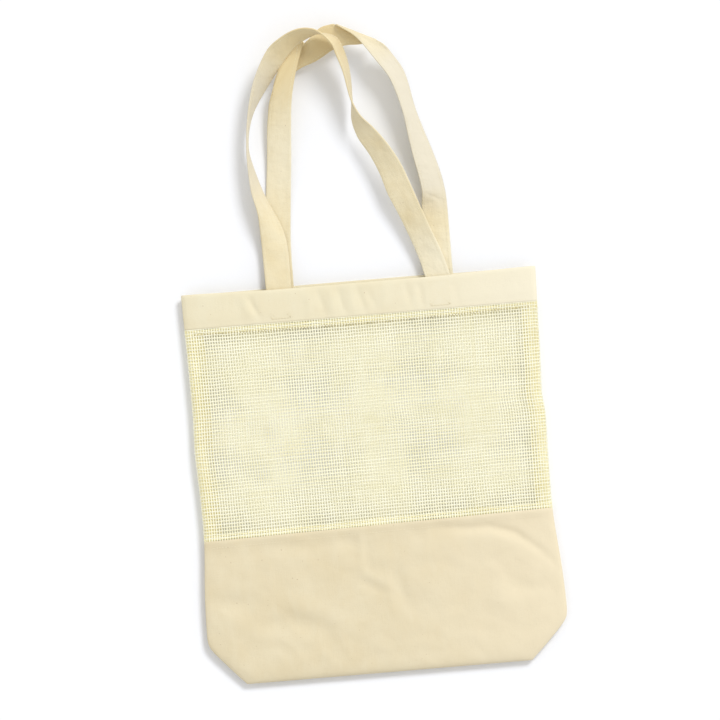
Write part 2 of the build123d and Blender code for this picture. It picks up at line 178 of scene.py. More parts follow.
# Small creases across each strap: distance along it, slant, depth.
FRONT_STRAP_FOLDS = [
    (66, 5, 0.5), (82, -3, 0.35), (255, 12, 0.4), (402, -9, 0.5), (505, 14, 0.4), (600, -8, 0.5),
]
BACK_STRAP_FOLDS = [
    (70, 4, 0.4), (150, -8, 0.35), (205, 10, 0.4), (430, -10, 0.5), (500, 9, 0.35), (578, 11, 0.7),
]


# ---- curves and fields ----
def curve_through(knots, where):
    """A smooth curve through knots (rows of a parameter and values), read at where."""
    knots = np.array(knots, float)
    at = knots[:, 0]
    values = knots[:, 1:]
    slope = np.empty_like(values)
    slope[1:-1] = (values[2:] - values[:-2]) / (at[2:] - at[:-2])[:, None]
    slope[0] = (values[1] - values[0]) / (at[1] - at[0])
    slope[-1] = (values[-1] - values[-2]) / (at[-1] - at[-2])
    where = np.clip(np.asarray(where, float), at[0], at[-1])
    index = np.clip(np.searchsorted(at, where, side="right") - 1, 0, len(at) - 2)
    step = (at[index + 1] - at[index])[..., None]
    t = (where - at[index])[..., None] / step
    start, end = values[index], values[index + 1]
    a = 2 * t**3 - 3 * t**2 + 1
    b = t**3 - 2 * t**2 + t
    c = -2 * t**3 + 3 * t**2
    e = t**3 - t**2
    return a * start + b * step * slope[index] + c * end + e * step * slope[index + 1]


def smoothstep(low, high, value):
    t = np.clip((value - low) / (high - low), 0, 1)
    return t * t * (3 - 2 * t)


def hump(distance, width):
    """1 where the distance is 0, falling smoothly to nothing at about twice the width."""
    return np.exp(-((distance / width) ** 2))


def unit(vectors):
    length = np.linalg.norm(vectors, axis=-1, keepdims=True)
    return vectors / np.maximum(length, 1e-9)


def straight_up(points):
    """For each point, a vector that points up from the floor."""
    ups = np.zeros_like(points)
    ups[..., 2] = 1.0
    return ups


def distance_along(line):
    """How far along a line each of its points lies."""
    steps = np.linalg.norm(np.diff(line, axis=0), axis=1)
    return np.concatenate([[0], steps.cumsum()])


def read_along(values, travelled, at):
    """The values of a line's points, read at other distances along it."""
    return np.stack([np.interp(at, travelled, column) for column in values.T], -1)


def left_edge(d):
    return -HALF_BASE - curve_through(LEFT_LINE, d)[..., 0]


def right_edge(d):
    return HALF_BASE + curve_through(RIGHT_LINE, d)[..., 0]


def across_to_x(across, d, inset=0.0):
    """x at a place across the bag: -1 is its left edge and 1 its right edge."""
    left = left_edge(d) + inset
    right = right_edge(d) - inset
    return left + (right - left) * (across + 1) / 2


def seam_across(across):
    """The lower seam, which climbs a little from left to right."""
    return SEAM_LEFT + (SEAM_RIGHT - SEAM_LEFT) * (across + 1) / 2


def seam_line(x):
    return seam_across(x / (HALF_BASE + 35))


# A line across a wall is a function of the place across it. These two make such lines.
def level(d):
    return lambda across: d + 0 * across


def beside_seam(above):
    return lambda across: seam_across(across) + above


def rumple(x, d, size, seed):
    """Soft even noise, about -1 to 1, with bumps about size across."""
    flat = np.stack(np.broadcast_arrays(x, d), -1).reshape(-1, 2) / size
    values = [noise.noise(Vector((px, pd, seed * 7.3))) for px, pd in flat]
    return np.array(values).reshape(np.broadcast(x, d).shape)


def crease(x, d, path, width, height):
    """A soft ridge (or a valley, with a negative height) along a path, fading at its ends."""
    path = np.array(path, float)
    lengths = np.linalg.norm(np.diff(path, axis=0), axis=1)
    total = lengths.sum()
    best = np.full(np.shape(x), 1e9)
    place = np.zeros(np.shape(x))
    done = 0.0
    for start, end, length in zip(path, path[1:], lengths):
        step = (end - start) / length
        t = np.clip((x - start[0]) * step[0] + (d - start[1]) * step[1], 0, length)
        gap = np.hypot(x - start[0] - t * step[0], d - start[1] - t * step[1])
        nearer = gap < best
        best = np.where(nearer, gap, best)
        place = np.where(nearer, done + t, place)
        done += length
    fade = np.sin(np.pi * np.clip(place / total, 0.02, 0.98)) ** 0.5
    return height * fade * hump(best, width)


# Folds in the front, placed as they lie: path (x, d), width, height.
FRONT_CREASES = [
    ([(60, 149), (92, 146), (119, 145), (145, 136), (172, 114), (190, 94)], 4.8, -2.4),
    ([(70, 133), (112, 134), (140, 124), (166, 100)], 11, 0.7),
    ([(-22, 152), (-20, 128), (-22, 108)], 4.2, 0.9),
    ([(-13, 150), (-15, 126), (-14, 108)], 4.5, -0.8),
    ([(-28, 103), (-10, 90), (8, 81)], 5.5, -1.2),
    ([(-24, 110), (-4, 99), (10, 88)], 5.0, 0.8),
    ([(12, 112), (16, 96), (24, 70), (44, 52)], 7.5, -1.1),
    ([(4, 105), (8, 80), (10, 60)], 8, 0.6),
    ([(-140, 62), (-108, 62), (-70, 55), (-52, 30)], 11, -1.8),
    ([(-112, 84), (-84, 76), (-56, 60), (-46, 34)], 12, 1.5),
    ([(-188, 90), (-165, 84), (-140, 86)], 10, -1.5),
    ([(-188, 74), (-150, 62), (-118, 44)], 12, 0.9),
    ([(124, 102), (140, 84), (160, 74), (189, 80)], 10, -1.5),
    ([(110, 84), (128, 66), (160, 56)], 13, 1.0),
    ([(-120, 140), (-60, 141), (-10, 140)], 7, -0.9),
    ([(-60, 20), (20, 17), (90, 20)], 9, -0.8),
]
BAND_RIPPLES = [  # path across the front band, width, height
    ([(-118, 412), (-114, 400), (-108, 388)], 3.0, -1.4),
    ([(-125, 410), (-121, 398), (-118, 388)], 4.0, 0.8),
    ([(-57, 412), (-54, 398), (-56, 384)], 3.8, 0.8),
    ([(-45, 414), (-41, 400), (-38, 384)], 3.4, -1.2),
    ([(-32, 414), (-30, 400), (-29, 384)], 3.8, 0.9),
    ([(-22, 414), (-20, 400), (-17, 386)], 2.8, -1.4),
    ([(-10, 414), (-9, 400), (-8, 384)], 3.6, 0.9),
    ([(-1, 413), (1, 400), (5, 386)], 2.8, -1.2),
    ([(9, 412), (12, 400), (18, 388)], 3.2, -0.8),
    ([(28, 413), (27, 400), (24, 386)], 4.0, 0.6),
    ([(50, 414), (52, 402), (54, 388)], 3.2, -1.0),
    ([(64, 412), (66, 400), (66, 386)], 2.8, -1.2),
    ([(100, 410), (103, 398), (104, 386)], 4.0, -0.6),
]


def from_side(x, d):
    """How far in from the bag's nearer side edge a place is."""
    return np.minimum(x - left_edge(d), right_edge(d) - x)


def side_profile(x, d):
    """0 at the bag's side edge, rising roundly to 1 over its middle."""
    inward = np.clip(from_side(x, d) / EDGE_ROUND, 0, 1)
    return np.sqrt(1 - (1 - inward) ** 2.6)


def edge_height(d):
    return FOLD_NOSE_Z + (EDGE_Z - FOLD_NOSE_Z) * smoothstep(0, 90, d)


def front_surface(x, d):
    """Height of the front wall's middle surface: rounded at its edges, a little crowned, with
    soft waves, with creases and facets below the seam and ripples in the band."""
    low = edge_height(d)
    upward = np.clip(d / 22.0, 0, 1)
    inside = side_profile(x, d) * np.sqrt(1 - (1 - upward) ** 2.6)
    top = FRONT_Z - 1.6 * (1 - smoothstep(0, 120, d)) + 0.9 * np.cos(x / 190 * math.pi / 2)
    z = low + (top - low) * inside
    z = z + inside * sum(height * rumple(x, d, *wave) for height, *wave in FRONT_WAVES)
    lower = smoothstep(4, 0, d - seam_line(x))
    if np.any(lower > 0):
        folds = sum(crease(x, d, path, w, h) for path, w, h in FRONT_CREASES)
        drop = seam_line(x) - d
        under_seam = 0.6 * hump(drop, 6.0) - 0.5 * hump(drop - 14, 9.0)
        facets = np.abs(rumple(x, d, 36, 3)) - np.abs(rumple(x, d, 24, 4))
        z = z + lower * inside * (folds + under_seam + 1.1 * facets)
    upper = smoothstep(BAND_LOW - 14, BAND_LOW + 4, d)
    if np.any(upper > 0):
        ripples = sum(crease(x, d, path, w, h) for path, w, h in BAND_RIPPLES)
        z = z + upper * inside * ripples
    return z


def back_surface(x, d):
    """Height of the back wall's middle surface. It lies on the folded base near the bottom."""
    low = edge_height(d)
    inside = side_profile(x, d)
    on_base = 1 - smoothstep(BASE_DEPTH + 2, BASE_DEPTH + 20, d)
    rest = BACK_Z + 1.7 * on_base
    z = low + (rest - low) * inside
    return z + 0.12 * inside * (1 + rumple(x, d, 40, 5))


# ---- meshes ----
def added(name, data):
    """A new object in the scene for a mesh, a camera or a light."""
    made = bpy.data.objects.new(name, data)
    bpy.context.scene.collection.objects.link(made)
    return made


def mesh_piece(name, points, faces, uvs):
    """A mesh object from points in millimetres (x, d, z). uvs has one pair for each point."""
    metres = np.asarray(points, float) * MM
    metres[:, 1] += BOTTOM_Y
    mesh = bpy.data.meshes.new(name)
    mesh.from_pydata(metres.tolist(), [], [tuple(map(int, face)) for face in faces])
    layer = mesh.uv_layers.new(name="cloth")
    loops = np.zeros(len(mesh.loops), np.int32)
    mesh.loops.foreach_get("vertex_index", loops)
    layer.data.foreach_set("uv", (np.asarray(uvs, float) * MM)[loops].ravel())
    mesh.polygons.foreach_set("use_smooth", np.full(len(mesh.polygons), True))
    mesh.update()
    return added(name, mesh)


def grid_normals(points):
    down = np.gradient(points, axis=0)
    across = np.gradient(points, axis=1)
    return unit(np.cross(across, down))


def slab_arrays(points, thickness, flat=None):
    """A closed cloth slab round a grid of middle points, with a rounded rim. flat holds each
    grid point's place on the cloth when it is laid flat, if it isn't simply the point's own
    x and d. Returns points, faces and uvs."""
    rows, columns = points.shape[:2]
    count = rows * columns
    thickness = np.broadcast_to(thickness, (rows, columns))
    normals = grid_normals(points)
    offset = normals * (thickness / 2)[..., None]
    top = (points + offset).reshape(-1, 3)
    low = (points - offset).reshape(-1, 3)
    index = np.arange(count).reshape(rows, columns)
    quads = np.stack(
        [index[:-1, :-1], index[1:, :-1], index[1:, 1:], index[:-1, 1:]], -1
    ).reshape(-1, 4)
    border = np.concatenate([index[0, :], index[1:, -1], index[-1, -2::-1], index[-2:0:-1, 0]])
    middle = points.reshape(-1, 3)
    inner = points[1:-1, 1:-1].reshape(-1, 3).mean(axis=0)
    around = middle[border]
    ahead = np.roll(around, -1, axis=0) - np.roll(around, 1, axis=0)
    outward = unit(np.cross(ahead, normals.reshape(-1, 3)[border]))
    sign = np.sign(np.sum((around - inner) * outward, axis=1).sum()) or 1.0
    bulge = thickness.reshape(-1)[border] * 0.42
    rim = around + sign * outward * bulge[:, None]
    rim_index = 2 * count + np.arange(len(border))
    next_border = np.roll(border, -1)
    next_rim = np.roll(rim_index, -1)
    sides = np.concatenate([
        np.stack([rim_index, next_rim, next_border, border], -1),
        np.stack([border + count, next_border + count, next_rim, rim_index], -1),
    ])
    faces = np.concatenate([quads[:, ::-1], quads + count, sides])
    flat = (points[..., :2] if flat is None else flat).reshape(-1, 2)
    uvs = np.concatenate([flat, flat, flat[border]])
    return np.concatenate([top, low, rim]), faces, uvs


def slab(name, points, thickness, flat=None):
    return mesh_piece(name, *slab_arrays(points, thickness, flat))


def joined(name, parts):
    """One mesh piece from several (points, faces, uvs)."""
    points, faces, uvs, start = [], [], [], 0
    for part_points, part_faces, part_uvs in parts:
        points.append(part_points)
        faces.extend([tuple(corner + start for corner in face) for face in part_faces])
        uvs.append(part_uvs)
        start += len(part_points)
    return mesh_piece(name, np.concatenate(points), faces, np.concatenate(uvs))


def tube_arrays(lines, ups, radius_wide, radius_thick, sides):
    """Tubes along many lines at once. lines is lines x points x 3, and ups point off the
    cloth. A tube has its own half-width along the cloth and another off it."""
    count, length = lines.shape[:2]
    along = np.gradient(lines, axis=1)
    wide = unit(np.cross(along, ups)) * np.broadcast_to(radius_wide, (count, length))[..., None]
    angles = 2 * math.pi * (np.arange(sides) + 0.5) / sides
    ring = (
        wide[:, :, None, :] * np.cos(angles)[None, None, :, None]
        + ups[:, :, None, :] * (np.sin(angles) * radius_thick)[None, None, :, None]
    )
    points = (lines[:, :, None, :] + ring).reshape(-1, 3)
    index = np.arange(count * length * sides).reshape(count, length, sides)
    here, ahead = index[:, :-1, :], index[:, 1:, :]
    faces = np.stack(
        [ahead, np.roll(ahead, -1, axis=2), np.roll(here, -1, axis=2), here], -1
    ).reshape(-1, 4)
    start_caps = index[:, 0, :].tolist()
    end_caps = index[:, -1, ::-1].tolist()
    travelled = np.linalg.norm(np.diff(lines, axis=1), axis=-1).cumsum(axis=1)
    travelled = np.concatenate([np.zeros((count, 1)), travelled], axis=1)
    round_about = np.arange(sides) / sides
    uvs = np.stack(np.broadcast_arrays(round_about, travelled[:, :, None]), -1).reshape(-1, 2)
    return points, faces.tolist() + start_caps + end_caps, uvs


# ---- the net ----
def wander(u, v, waves, seed):
    """How far threads are from their rows, as a share of their spacing."""
    return sum(amount * rumple(u, v, reach, seed + i) for i, (amount, reach) in enumerate(waves))


def net_arrays(place, columns, rows, seed, fullness, wefts_shown=slice(None)):
    """Open plain-woven net. Warps and wefts pass over and under each other in turn.
    place(u, v) gives points and normals for column and row numbers. The weave is flatter and
    its warps narrower at the bag's sides. wefts_shown picks the wefts that are made."""
    u, v = np.meshgrid(np.arange(columns), np.arange(rows), indexing="ij")
    loose = smoothstep(1, CALM_COLUMNS, np.minimum(u, columns - 1 - u))
    wander_u = wander(u, v, WARP_WANDER, seed) * loose
    wander_v = wander(u, v, WEFT_WANDER, seed + 2)
    points, normals = place(u + wander_u, v + wander_v)
    spread = np.full(points.shape[:2], fullness)
    for x, d, size in THIN_PLACES:
        spread -= THINNER * hump(np.hypot(points[..., 0] - x, points[..., 1] - d), size)
    inward = from_side(points[..., 0], points[..., 1])
    lift = 0.06 + 0.14 * smoothstep(2, EDGE_ROUND, inward)  # of a thread over its crossing
    over = (np.where((u + v) % 2 == 0, 1.0, -1.0) * lift)[..., None]
    slim = 0.4 + 0.6 * smoothstep(0, 7, inward)  # of full width
    warps = points + normals * (over + 0.05)
    wefts = np.swapaxes(points - normals * over, 0, 1)
    weft_ups = np.swapaxes(normals, 0, 1)
    return [
        tube_arrays(warps, normals, WARP_WIDE / 2 * spread * slim, WARP_THICK / 2, sides=4),
        tube_arrays(
            wefts[wefts_shown], weft_ups[wefts_shown],
            WEFT_WIDE / 2 * spread.T[wefts_shown], WEFT_THICK / 2, sides=4,
        ),
    ]


def wall_place(surface, low_line, high_line, columns, rows, offset=0.0):
    """Puts column and row numbers on one wall, between two lines across it. offset moves the
    net off the wall's middle surface."""
    step = 0.8  # how far apart the surface is read for its slopes
    steepest = 2.5

    def slope(rise):
        return np.clip(rise / (2 * step), -steepest, steepest)

    def place(u, v):
        across = 2 * u / (columns - 1) - 1
        share = v / (rows - 1)
        low = low_line(across)
        d = low + (high_line(across) - low) * share
        x = across_to_x(across, d)
        z = surface(x, d)
        slope_x = slope(surface(x + step, d) - surface(x - step, d))
        slope_d = slope(surface(x, d + step) - surface(x, d - step))
        normals = unit(np.stack([-slope_x, -slope_d, np.ones_like(z)], -1))
        points = np.stack([x, d, z], -1) + normals * offset
        return points, normals

    return place


def net_wall(name, surface, seed, turning, extra, fullness):
    """One net panel with its turned-in edges under the band and above the lower seam, which
    lie off the panel by turning. extra threads keep the two walls out of step, so that they
    make a moire. fullness widens the threads."""
    width = float(right_edge(270.0) - left_edge(270.0))
    columns = int(round(width / WARP_PITCH)) + 1 + extra
    low_line = beside_seam(-4)
    high = BAND_LOW + 3
    rows = int(round((high - SEAM_LEFT - 1) / WEFT_PITCH)) + 1 + extra
    place = wall_place(surface, low_line, level(high), columns, rows)
    panel = joined(name, net_arrays(place, columns, rows, seed, fullness))
    edges = []
    for start, end, count, shown in (
        (level(BAND_LOW - 9), level(BAND_LOW + 1), 4, slice(1, None)),
        (low_line, beside_seam(8), 5, slice(0, -1)),
    ):
        place = wall_place(surface, start, end, columns, count, offset=turning)
        edges += net_arrays(place, columns, count, seed + 9, TURNED_FULLNESS, wefts_shown=shown)
    return panel, joined(name + "_turnings", edges)


def side_strip(name, side, width):
    """The doubled net allowance down one side, lying between front and back."""
    low, high = BASE_DEPTH + 20, MOUTH - 4
    rows = int(round((high - low) / WEFT_PITCH)) + 1
    parts = []
    for layer, lift in enumerate((0.45, -0.45)):
        reach = width * (0.62 + 0.38 * layer)
        columns = int(round(reach / WARP_PITCH)) + 1

        def place(u, v):
            d = low + (high - low) * (v + 0.5 * layer) / rows
            inward = 1.2 + reach * (u + 0.3 * layer) / (columns - 1)
            x = right_edge(d) - inward if side > 0 else left_edge(d) + inward
            rise = lift + 1.3 * smoothstep(0, width, inward)
            points = np.stack([x, d, edge_height(d) + rise], -1)
            return points, straight_up(points)

        parts += net_arrays(place, columns, rows, 20 + layer, TURNED_FULLNESS)
    return joined(name, parts)


# ---- canvas panels ----
def wall_grid(surface, low_line, high_line, step=2.6):
    """A grid of points on one wall between two lines across it."""
    columns = int(2 * HALF_BASE * 1.25 / step)
    across = np.linspace(-1, 1, columns)
    across = np.sign(across) * (1 - (1 - np.abs(across)) ** 1.25)
    low = low_line(across)
    high = high_line(across)
    rows = int(np.max(high - low) / step) + 2
    share = np.linspace(0, 1, rows)[:, None]
    d = low + (high - low) * share
    x = across_to_x(across[None, :], d)
    return np.stack([x, d, surface(x, d)], -1)


def thin_at_sides(thickness, points):
    """Cloth is pressed thin where the side seam takes it."""
    inward = from_side(points[..., 0], points[..., 1])
    return thickness * (0.35 + 0.65 * smoothstep(0, 5, inward))


def lower_canvas(name, surface, seam_lift):
    """A lower panel with its turned edge lapped over the net at the seam."""
    points = wall_grid(surface, level(-0.6), seam_across)
    drop = seam_line(points[..., 0]) - points[..., 1]
    points[..., 2] += seam_lift * hump(drop, 3.0)
    thickness = CANVAS + 0.4 * (1 - smoothstep(5.0, 9.0, drop))
    thickness = thickness * (0.45 + 0.55 * smoothstep(0, 2.6, drop))
    return slab(name, points, thin_at_sides(thickness, points))


def front_mouth(across):
    """The front's top edge, which rises a little outside the straps."""
    return MOUTH + 0.8 + 2.2 * smoothstep(0.42, 1.0, np.abs(across))


def back_mouth(across):
    """The back's top edge, which shows above the front's only between the straps."""
    return BACK_MOUTH + 0.3 - 0.9 * smoothstep(0.3, 0.5, np.abs(across))


def band(name, surface, mouth_line, lift):
    """The hem round the mouth: double canvas with a soft fold at its top edge."""
    points = wall_grid(surface, level(BAND_LOW), mouth_line, step=2.0)
    d = points[..., 1]
    below_top = d[-1:, :] - d
    fold = 1 - smoothstep(0, 2.2, below_top)
    foot = 1 - smoothstep(0, 2.0, d - BAND_LOW)
    points[..., 2] += lift
    sewn = hump(d - BAND_LOW - 3.2, 1.2)
    puff = 1 + 0.35 * smoothstep(4, 12, d - BAND_LOW) * smoothstep(0, 5, below_top)
    thickness = HEM * puff * (1 - 0.45 * fold - 0.35 * foot - 0.3 * sewn)
    return slab(name, points, thin_at_sides(thickness, points))


def base_canvas():
    """The base, folded flat under the back, with its fold rising to the bottom edge."""
    length = 2 * (HALF_BASE - 0.5)
    lying = 0.55  # the height of its middle surface where it lies flat
    nose = 2.1  # how far the bottom fold bulges
    curl = 0.6  # the turn of its far edge
    far = BASE_DEPTH - 3
    rise = (FOLD_NOSE_Z - lying) / 2
    path = []
    for angle in np.linspace(math.radians(70), math.radians(270), 14):
        path.append((nose + nose * math.cos(angle), lying + rise + rise * math.sin(angle)))
    path += [(d, lying) for d in np.linspace(5, far, 28)]
    for angle in np.linspace(math.radians(-90), math.radians(60), 7)[1:]:
        path.append((far + curl * math.cos(angle), 1.15 + curl * math.sin(angle)))
    path = np.array(path)
    x = np.linspace(-length / 2, length / 2, 110)[None, :]
    d = path[:, 0:1]
    pressed = 1 - 0.30 * (1 - smoothstep(0, 14, length / 2 - np.abs(x)))
    z = 0.5 + (path[:, 1:2] - 0.5) * pressed
    z = z + 0.08 * (1 + rumple(x, d, 30, 6))
    points = np.stack(np.broadcast_arrays(x, d, z), -1)
    flat = np.stack(np.broadcast_arrays(x, distance_along(path)[:, None]), -1)
    return slab("base_canvas", points, BASE_CANVAS, flat)


def gusset_canvas(name, side):
    """One folded corner: a double triangle of canvas between back and front."""
    share = np.linspace(0.03, 0.97, 24)[:, None]
    reach = 3 + (HALF_BASE * 0.24) * np.clip(1 - np.abs(share * 2 - 1), 0, 1)
    across = np.linspace(0, 1, 14)[None, :]
    x = side * (HALF_BASE - 6 + (reach - 2) * across)
    d = np.broadcast_to(4 + (BASE_DEPTH - 8) * share, x.shape)
    z = back_surface(x, d) + 1.3 + 0.2 * rumple(x, d, 14, 8)
    points = np.stack([x, d, z], -1)
    return slab(name, points, CANVAS)


def base_seam_strip(name, side):
    """The seam allowance at the base's short end."""
    d = np.linspace(3, BASE_DEPTH - 4, 40)[:, None]
    x = side * (HALF_BASE - 1.5 - 8.0 * np.linspace(0, 1, 6)[None, :])
    z = 1.45 + 0.1 * rumple(x, d, 12, 14)
    points = np.stack(np.broadcast_arrays(x, d, z), -1)
    return slab(name, points, ALLOWANCE)


def stitch_arrays(line, ups, length=STITCH_LENGTH, gap=STITCH_GAP, thread=THREAD):
    """A row of separate lock stitches along a line, each a little arched thread."""
    travelled = distance_along(line)
    starts = np.arange(gap, travelled[-1] - length, length + gap)
    shares = np.linspace(0, 1, 5)
    at = starts[:, None] + length * shares[None, :]
    off = unit(read_along(ups, travelled, at))
    arch = (np.sin(math.pi * shares) - 0.45)[None, :, None] * THREAD * 0.8
    lines = read_along(line, travelled, at) + off * arch
    return tube_arrays(lines, off, thread / 2, THREAD / 2, sides=5)


def net_edge(across):
    """The row of holes along the turned net, which sags a little under the front band."""
    return BAND_LOW - 5.6 - 3.0 * np.cos(across * math.pi / 2)


def wall_stitches(name, surface, rows, lift, **stitch):
    """Rows of stitches on a wall, each along one line across it."""
    across = np.linspace(-1, 1, 700)
    parts = []
    for row in rows:
        d = row(across)
        x = across_to_x(across, d, SIDE_GAP)
        line = np.stack([x, d, surface(x, d) + lift], -1)
        parts.append(stitch_arrays(line, straight_up(line), **stitch))
    return joined(name, parts)


def box_stitches(name, surface, centres, mouth, lift):
    """A sewn rectangle with a cross in it, over each end of a strap."""
    low, high = mouth - 30, mouth - 4
    low_left, low_right = (-BOX_HALF, low), (BOX_HALF, low)
    high_left, high_right = (-BOX_HALF, high), (BOX_HALF, high)
    runs = [
        [low_left, low_right, high_right, high_left, low_left],
        [low_left, high_right],
        [high_left, low_right],
    ]
    parts = []
    for centre in centres:
        for run in runs:
            run = np.array(run, float)
            travelled = distance_along(run)
            at = np.linspace(0, travelled[-1], 120)
            x, d = read_along(run, travelled, at).T
            x = centre + x
            line = np.stack([x, d, surface(x, d) + lift], -1)
            parts.append(stitch_arrays(line, straight_up(line)))
    return joined(name, parts)


def end_centres(box):
    """The middles of a strap's two sewn ends, from the box of both."""
    half = STRAP_WIDTH / 2
    return box[0][0] / MM + half, box[1][0] / MM - half


# ---- straps ----
def strap_lines(stations, mouth, tuck_z):
    """The strap's outer and inner edges and its bow as smooth lines, one row for each step
    along it, with its tucked ends inside the band at the height tuck_z."""
    between = 9  # steps from one station to the next
    knots = []
    place = 0.0
    for station in stations:
        outer = np.array(station[0]) + (0, mouth, 0)
        inner = np.array(station[1]) + (0, mouth, 0)
        bow = station[2] if len(station) > 2 else (0.0, 0.0, 0.0)
        middle = (outer + inner) / 2
        if knots:
            place += np.linalg.norm(middle - previous)
        previous = middle
        knots.append([place, *outer, *inner, *bow])
    at = np.array(knots)[:, 0]
    steps = [np.linspace(a, b, between, endpoint=False) for a, b in zip(at, at[1:])]
    lines = curve_through(knots, np.concatenate(steps + [at[-1:]]))
    ends = []
    for row, share in ((0, np.linspace(1, 0, 9, endpoint=False)), (-1, np.linspace(0, 1, 10)[1:])):
        end = np.repeat(lines[row][None, :], len(share), axis=0)
        end[:, [1, 4]] -= TUCK * share[:, None]
        end[:, [2, 5]] += ((tuck_z - lines[row, 2]) * smoothstep(0, 0.35, share))[:, None]
        ends.append(end)
    return np.concatenate([ends[0], lines, ends[1]])


def strap_grid(lines, across=15):
    share = np.linspace(0, 1, across)[None, :, None]
    outer, inner, bow = (lines[:, None, i : i + 3] for i in (0, 3, 6))
    return outer * (1 - share) + inner * share + bow * 4 * share * (1 - share)


def strap(name, lines, folds, seed):
    """The strap itself: canvas with ripples and creases, pressed thin along its stitches."""
    points = strap_grid(lines)
    normals = grid_normals(points)
    rows, columns = points.shape[:2]
    share = np.linspace(0, 1, columns)
    travelled = distance_along(points[:, columns // 2])[:, None]
    ripple = 0.45 * rumple(travelled, share[None, :] * 30, 17, seed)
    ripple = ripple - 0.40 * np.abs(rumple(travelled, share[None, :] * 34, 11, seed + 1))
    for distance, slant, depth in folds:
        gap = travelled + slant * share[None, :] - distance
        ripple = ripple - depth * hump(gap, 1.8)
    ripple = ripple * np.sin(math.pi * share)[None, :]
    points = points + normals * ripple[..., None]
    near_edge = np.minimum(share, 1 - share) * STRAP_WIDTH
    groove = 0.45 * hump(near_edge - 2.6, 0.9)
    thickness = STRAP_THICK * (1 - groove)[None, :] * np.ones((rows, 1))
    flat = np.stack(np.broadcast_arrays(share[None, :] * STRAP_WIDTH, travelled), -1)
    return slab(name, points, thickness, flat)


def strap_stitches(name, lines):
    """Two rows of stitches along each face of a strap."""
    grid = strap_grid(lines, 11)
    normals = grid_normals(grid)
    parts = []
    for column in (1, -2):
        line = grid[:, column]
        ups = normals[:, column]
        for face in (1, -1):
            raised = line + ups * face * (STRAP_THICK * 0.55 / 2 + THREAD * 0.30)
            parts.append(stitch_arrays(raised, ups * face))
    return joined(name, parts)


def strap_ends(name, lines):
    """The tucked ends as their own doubled tabs, turned under once inside the band."""
    rows = 8  # how many of a strap's first and last rows a tab takes up
    parts = []
    for part in (slice(0, rows), slice(-rows, None)):
        points = strap_grid(lines[part])
        points[..., 2] -= STRAP_THICK * 0.62
        points[..., 1] += 1.5
        parts.append(slab_arrays(points, TAB))
    return joined(name, parts)


# ---- materials ----
WAVE_LENGTH = 0.314159  # the length of one wave of the wave texture when its scale is 1
CANVAS_LIGHT = (0.785, 0.700, 0.500)
CANVAS_DARK = (0.735, 0.630, 0.415)
# Painted light: the lighter colour painted on the canvas towards its right side, where the light
# falls stronger.
CANVAS_LIT_RIGHT = (0.808, 0.709, 0.508)
BAND_LIGHT = (0.830, 0.770, 0.570)
BAND_DARK = (0.800, 0.715, 0.495)
# Painted light: the lighter colour painted on the band towards its right side, where the light falls
# stronger.
BAND_LIT_RIGHT = (0.860, 0.798, 0.622)
STRAP_LIGHT = (0.865, 0.785, 0.565)
STRAP_DARK = (0.770, 0.650, 0.395)
STRAP_PAINTED_SHADE = (0.740, 0.600, 0.330)  # painted shade: the darker, yellower tone of shaded cloth, painted on the tops of the strap loops
# Painted light: the greyer, paler tone of cloth in strong light, painted on stretches of the straps.
STRAP_PAINTED_LIT_GREY = (0.730, 0.672, 0.535)
# Painted light: a lighter tone painted on stretches near the strap roots that lie open to the light.
STRAP_PAINTED_LIT_PALE = (0.915, 0.865, 0.690)
SEED_FLECK = (0.50, 0.38, 0.24)
NET_LIGHT = (0.885, 0.862, 0.690)
NET_DARK = (0.820, 0.785, 0.560)
# Painted light: the turned, doubled net uses the same yarn, coloured yellower for the light that
# bounces between its layers.
TURNED_BOUNCE_TINT_LIGHT = (0.865, 0.812, 0.510)
TURNED_BOUNCE_TINT_DARK = (0.815, 0.735, 0.400)
# Painted shade: the dark colours of the dashes that stand for shade seen through the row of holes at
# the turned net's edge.
HOLE_SHADE_LIGHT = (0.62, 0.55, 0.33)
HOLE_SHADE_DARK = (0.47, 0.40, 0.22)
# Stretches of the straps with painted light and shade: start and end in metres from one sewn
# end, colour, amount.
FRONT_STRAP_LIGHT_AND_SHADE = [
    (0.300, 0.400, STRAP_PAINTED_SHADE, 0.8), (0.130, 0.280, STRAP_PAINTED_LIT_GREY, 0.75), (0.600, 0.720, STRAP_PAINTED_LIT_PALE, 0.50),
]
BACK_STRAP_LIGHT_AND_SHADE = [
    (0.238, 0.360, STRAP_PAINTED_SHADE, 0.85), (0.400, 0.580, STRAP_PAINTED_LIT_GREY, 0.9),
    (0.125, 0.205, STRAP_PAINTED_LIT_PALE, 0.40), (0.610, 0.720, STRAP_PAINTED_LIT_PALE, 0.50),
]


